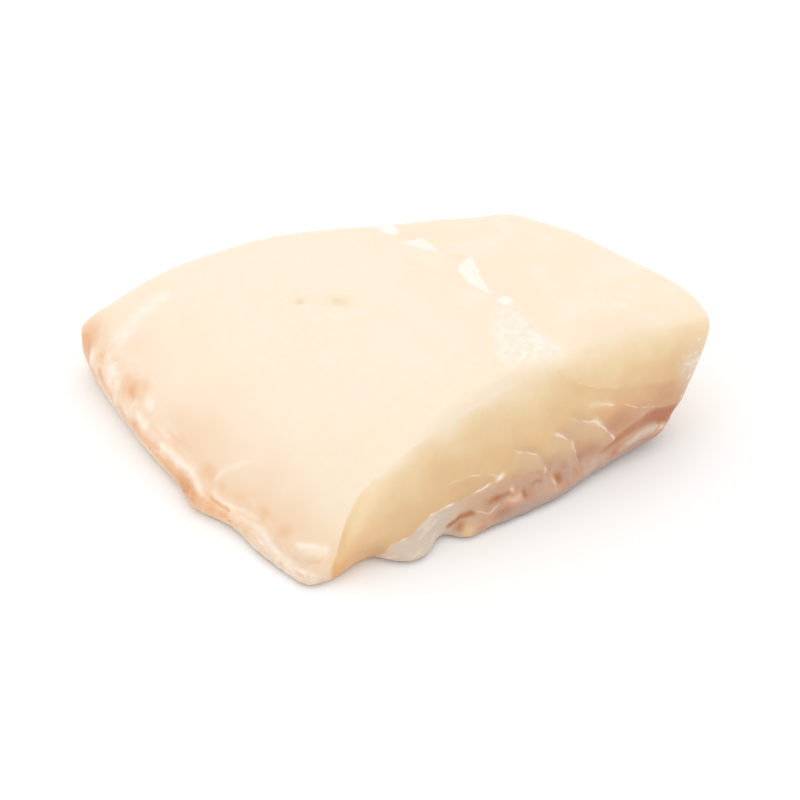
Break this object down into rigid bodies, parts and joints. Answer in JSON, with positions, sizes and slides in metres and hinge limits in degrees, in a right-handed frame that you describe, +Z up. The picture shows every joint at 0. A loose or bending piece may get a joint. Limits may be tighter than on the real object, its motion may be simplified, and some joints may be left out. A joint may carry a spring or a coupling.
{
  "type": "raw halibut fillet portion",
  "caption": "Skinless raw white fish portion with a crowned top, a muscle seam, a thin fin edge and a flaky front cut, lying on its flat side.",
  "frame": {"origin": "under the middle of the bounding box, on the surface that the portion lies on", "axes": "+Z up, +Y along the muscle fibres away from the front cut, +X towards the thick loin edge"},
  "size_m": [0.1184, 0.101, 0.0343],
  "materials": {
    "flesh": null
  },
  "bodies": {
    "root": {"halibut_fillet": "flesh"}
  },
  "joints": []
}
